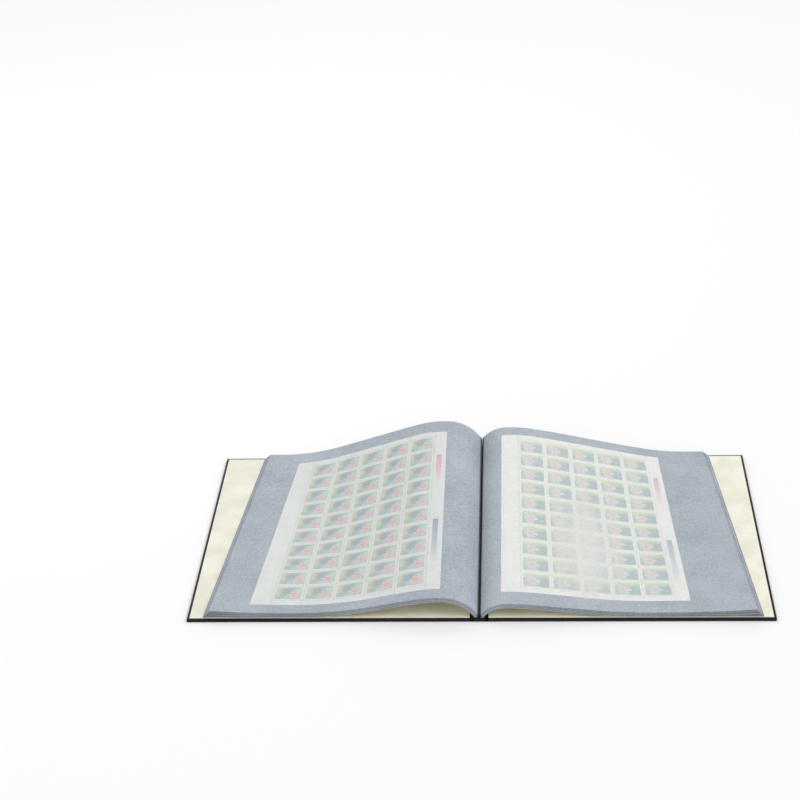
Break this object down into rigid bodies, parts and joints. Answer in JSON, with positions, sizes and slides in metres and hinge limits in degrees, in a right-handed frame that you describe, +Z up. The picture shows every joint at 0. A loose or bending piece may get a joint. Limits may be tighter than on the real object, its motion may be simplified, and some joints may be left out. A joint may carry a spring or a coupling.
{
  "type": "stamp album",
  "caption": "Sheet album with a hinged leatherette case, gold cover stripe and folded glassine leaves that hold full stamp sheets, lying open.",
  "frame": {"origin": "on the resting plane, under the middle of the spine, with the album open at its middle", "axes": "+X from the spine to the back cover's fore-edge, +Y along the spine towards the head, +Z up"},
  "size_m": [0.5912, 0.321, 0.0521],
  "materials": {
    "leatherette": "semi_gloss",
    "grey_board": "matte",
    "cream_paper": "matte",
    "lining": "matte",
    "glassine": "satin",
    "stamp_paper": "matte",
    "gold_foil": "polished"
  },
  "bodies": {
    "back_cover": {"back_board": "grey_board", "back_skin": "leatherette", "back_pastedown": "cream_paper"},
    "spine": {"spine_board": "grey_board", "spine_skin": "leatherette", "spine_lining": "lining", "back_joint_strip": "leatherette", "front_joint_strip": "leatherette"},
    "front_cover": {"front_board": "grey_board", "front_skin": "leatherette", "front_pastedown": "cream_paper", "gold_stripe": "gold_foil", "gold_emblem": "gold_foil"},
    "leaf_12": {"leaf_12": "glassine", "stamp_sheet_left": "stamp_paper"},
    "leaf_11": {"leaf_11": "glassine"},
    "leaf_10": {"leaf_10": "glassine"},
    "leaf_09": {"leaf_09": "glassine"},
    "leaf_08": {"leaf_08": "glassine"},
    "leaf_07": {"leaf_07": "glassine"},
    "leaf_06": {"leaf_06": "glassine"},
    "leaf_05": {"leaf_05": "glassine"},
    "leaf_04": {"leaf_04": "glassine"},
    "leaf_03": {"leaf_03": "glassine"},
    "leaf_02": {"leaf_02": "glassine"},
    "leaf_01": {"leaf_01": "glassine"},
    "front_flyleaf": {"front_flyleaf": "cream_paper"},
    "leaf_18": {"leaf_18": "glassine"},
    "leaf_19": {"leaf_19": "glassine"},
    "leaf_20": {"leaf_20": "glassine"},
    "leaf_21": {"leaf_21": "glassine"},
    "leaf_22": {"leaf_22": "glassine"},
    "leaf_23": {"leaf_23": "glassine"},
    "leaf_24": {"leaf_24": "glassine"},
    "back_flyleaf": {"back_flyleaf": "cream_paper"},
    "leaf_13": {"leaf_13": "glassine", "stamp_sheet_right": "stamp_paper"},
    "leaf_14": {"leaf_14": "glassine"},
    "leaf_15": {"leaf_15": "glassine"},
    "leaf_16": {"leaf_16": "glassine"},
    "leaf_17": {"leaf_17": "glassine"}
  },
  "joints": [
    {"name": "spine_hinge", "type": "hinge", "parent": "back_cover", "child": "spine", "pos_m": [0.0073, 0, 0.0015], "axis": [0, 1, 0], "range_deg": [0, 90], "deforming": ["back_joint_strip"]},
    {"name": "front_cover_hinge", "type": "hinge", "parent": "spine", "child": "front_cover", "pos_m": [-0.0073, 0, 0.0015], "axis": [0, 1, 0], "range_deg": [0, 90], "deforming": ["front_joint_strip"]},
    {"name": "leaf_12_hinge", "type": "hinge", "parent": "spine", "child": "leaf_12", "pos_m": [-0.0002, 0, 0.00305], "axis": [0, 1, 0], "range_deg": [0, 90], "deforming": ["leaf_12", "stamp_sheet_left"]},
    {"name": "leaf_11_hinge", "type": "hinge", "parent": "spine", "child": "leaf_11", "pos_m": [-0.0006, 0, 0.00305], "axis": [0, 1, 0], "range_deg": [0, 90], "deforming": ["leaf_11"]},
    {"name": "leaf_10_hinge", "type": "hinge", "parent": "spine", "child": "leaf_10", "pos_m": [-0.001, 0, 0.00305], "axis": [0, 1, 0], "range_deg": [0, 90], "deforming": ["leaf_10"]},
    {"name": "leaf_09_hinge", "type": "hinge", "parent": "spine", "child": "leaf_09", "pos_m": [-0.0014, 0, 0.00305], "axis": [0, 1, 0], "range_deg": [0, 90], "deforming": ["leaf_09"]},
    {"name": "leaf_08_hinge", "type": "hinge", "parent": "spine", "child": "leaf_08", "pos_m": [-0.0018, 0, 0.00305], "axis": [0, 1, 0], "range_deg": [0, 90], "deforming": ["leaf_08"]},
    {"name": "leaf_07_hinge", "type": "hinge", "parent": "spine", "child": "leaf_07", "pos_m": [-0.0022, 0, 0.00305], "axis": [0, 1, 0], "range_deg": [0, 90], "deforming": ["leaf_07"]},
    {"name": "leaf_06_hinge", "type": "hinge", "parent": "spine", "child": "leaf_06", "pos_m": [-0.0026, 0, 0.00305], "axis": [0, 1, 0], "range_deg": [0, 90], "deforming": ["leaf_06"]},
    {"name": "leaf_05_hinge", "type": "hinge", "parent": "spine", "child": "leaf_05", "pos_m": [-0.003, 0, 0.00305], "axis": [0, 1, 0], "range_deg": [0, 90], "deforming": ["leaf_05"]},
    {"name": "leaf_04_hinge", "type": "hinge", "parent": "spine", "child": "leaf_04", "pos_m": [-0.0034, 0, 0.00305], "axis": [0, 1, 0], "range_deg": [0, 90], "deforming": ["leaf_04"]},
    {"name": "leaf_03_hinge", "type": "hinge", "parent": "spine", "child": "leaf_03", "pos_m": [-0.0038, 0, 0.00305], "axis": [0, 1, 0], "range_deg": [0, 90], "deforming": ["leaf_03"]},
    {"name": "leaf_02_hinge", "type": "hinge", "parent": "spine", "child": "leaf_02", "pos_m": [-0.0042, 0, 0.00305], "axis": [0, 1, 0], "range_deg": [0, 90], "deforming": ["leaf_02"]},
    {"name": "leaf_01_hinge", "type": "hinge", "parent": "spine", "child": "leaf_01", "pos_m": [-0.0046, 0, 0.00305], "axis": [0, 1, 0], "range_deg": [0, 90], "deforming": ["leaf_01"]},
    {"name": "front_flyleaf_hinge", "type": "hinge", "parent": "spine", "child": "front_flyleaf", "pos_m": [-0.005, 0, 0.00305], "axis": [0, 1, 0], "range_deg": [0, 90], "deforming": ["front_flyleaf"]},
    {"name": "leaf_18_hinge", "type": "hinge", "parent": "spine", "child": "leaf_18", "pos_m": [0.0022, 0, 0.00305], "axis": [0, -1, 0], "range_deg": [0, 90], "deforming": ["leaf_18"]},
    {"name": "leaf_19_hinge", "type": "hinge", "parent": "spine", "child": "leaf_19", "pos_m": [0.0026, 0, 0.00305], "axis": [0, -1, 0], "range_deg": [0, 90], "deforming": ["leaf_19"]},
    {"name": "leaf_20_hinge", "type": "hinge", "parent": "spine", "child": "leaf_20", "pos_m": [0.003, 0, 0.00305], "axis": [0, -1, 0], "range_deg": [0, 90], "deforming": ["leaf_20"]},
    {"name": "leaf_21_hinge", "type": "hinge", "parent": "spine", "child": "leaf_21", "pos_m": [0.0034, 0, 0.00305], "axis": [0, -1, 0], "range_deg": [0, 90], "deforming": ["leaf_21"]},
    {"name": "leaf_22_hinge", "type": "hinge", "parent": "spine", "child": "leaf_22", "pos_m": [0.0038, 0, 0.00305], "axis": [0, -1, 0], "range_deg": [0, 90], "deforming": ["leaf_22"]},
    {"name": "leaf_23_hinge", "type": "hinge", "parent": "spine", "child": "leaf_23", "pos_m": [0.0042, 0, 0.00305], "axis": [0, -1, 0], "range_deg": [0, 90], "deforming": ["leaf_23"]},
    {"name": "leaf_24_hinge", "type": "hinge", "parent": "spine", "child": "leaf_24", "pos_m": [0.0046, 0, 0.00305], "axis": [0, -1, 0], "range_deg": [0, 90], "deforming": ["leaf_24"]},
    {"name": "back_flyleaf_hinge", "type": "hinge", "parent": "spine", "child": "back_flyleaf", "pos_m": [0.005, 0, 0.00305], "axis": [0, -1, 0], "range_deg": [0, 90], "deforming": ["back_flyleaf"]},
    {"name": "page_turn", "type": "hinge", "parent": "leaf_18", "child": "leaf_13", "pos_m": [0.00202, 0, 0.01993], "axis": [0, 0.9973, 0.0728], "range_deg": [-100, 0], "deforming": ["leaf_13", "stamp_sheet_right"]},
    {"name": "leaf_14_hinge", "type": "hinge", "parent": "leaf_18", "child": "leaf_14", "pos_m": [0.0023, 0, 0.01965], "axis": [0, 0.9973, 0.0728], "range_deg": [-80, 0], "deforming": ["leaf_14"]},
    {"name": "leaf_15_hinge", "type": "hinge", "parent": "leaf_18", "child": "leaf_15", "pos_m": [0.00258, 0, 0.01937], "axis": [0, 0.9973, 0.0728], "range_deg": [-60, 0], "deforming": ["leaf_15"]},
    {"name": "leaf_16_hinge", "type": "hinge", "parent": "leaf_18", "child": "leaf_16", "pos_m": [0.00286, 0, 0.01909], "axis": [0, 0.9973, 0.0728], "range_deg": [-40, 0], "deforming": ["leaf_16"]},
    {"name": "leaf_17_hinge", "type": "hinge", "parent": "leaf_18", "child": "leaf_17", "pos_m": [0.00315, 0, 0.0188], "axis": [0, 0.9973, 0.0728], "range_deg": [-20, 0], "deforming": ["leaf_17"]}
  ],
  "couplings": [
    {"joint": "leaf_12_hinge", "follows": "front_cover_hinge", "ratio": 1},
    {"joint": "leaf_11_hinge", "follows": "front_cover_hinge", "ratio": 1},
    {"joint": "leaf_10_hinge", "follows": "front_cover_hinge", "ratio": 1},
    {"joint": "leaf_09_hinge", "follows": "front_cover_hinge", "ratio": 1},
    {"joint": "leaf_08_hinge", "follows": "front_cover_hinge", "ratio": 1},
    {"joint": "leaf_07_hinge", "follows": "front_cover_hinge", "ratio": 1},
    {"joint": "leaf_06_hinge", "follows": "front_cover_hinge", "ratio": 1},
    {"joint": "leaf_05_hinge", "follows": "front_cover_hinge", "ratio": 1},
    {"joint": "leaf_04_hinge", "follows": "front_cover_hinge", "ratio": 1},
    {"joint": "leaf_03_hinge", "follows": "front_cover_hinge", "ratio": 1},
    {"joint": "leaf_02_hinge", "follows": "front_cover_hinge", "ratio": 1},
    {"joint": "leaf_01_hinge", "follows": "front_cover_hinge", "ratio": 1},
    {"joint": "front_flyleaf_hinge", "follows": "front_cover_hinge", "ratio": 1},
    {"joint": "leaf_18_hinge", "follows": "spine_hinge", "ratio": 1},
    {"joint": "leaf_19_hinge", "follows": "spine_hinge", "ratio": 1},
    {"joint": "leaf_20_hinge", "follows": "spine_hinge", "ratio": 1},
    {"joint": "leaf_21_hinge", "follows": "spine_hinge", "ratio": 1},
    {"joint": "leaf_22_hinge", "follows": "spine_hinge", "ratio": 1},
    {"joint": "leaf_23_hinge", "follows": "spine_hinge", "ratio": 1},
    {"joint": "leaf_24_hinge", "follows": "spine_hinge", "ratio": 1},
    {"joint": "back_flyleaf_hinge", "follows": "spine_hinge", "ratio": 1},
    {"joint": "leaf_14_hinge", "follows": "page_turn", "ratio": 0.8},
    {"joint": "leaf_15_hinge", "follows": "page_turn", "ratio": 0.6},
    {"joint": "leaf_16_hinge", "follows": "page_turn", "ratio": 0.4},
    {"joint": "leaf_17_hinge", "follows": "page_turn", "ratio": 0.2}
  ]
}
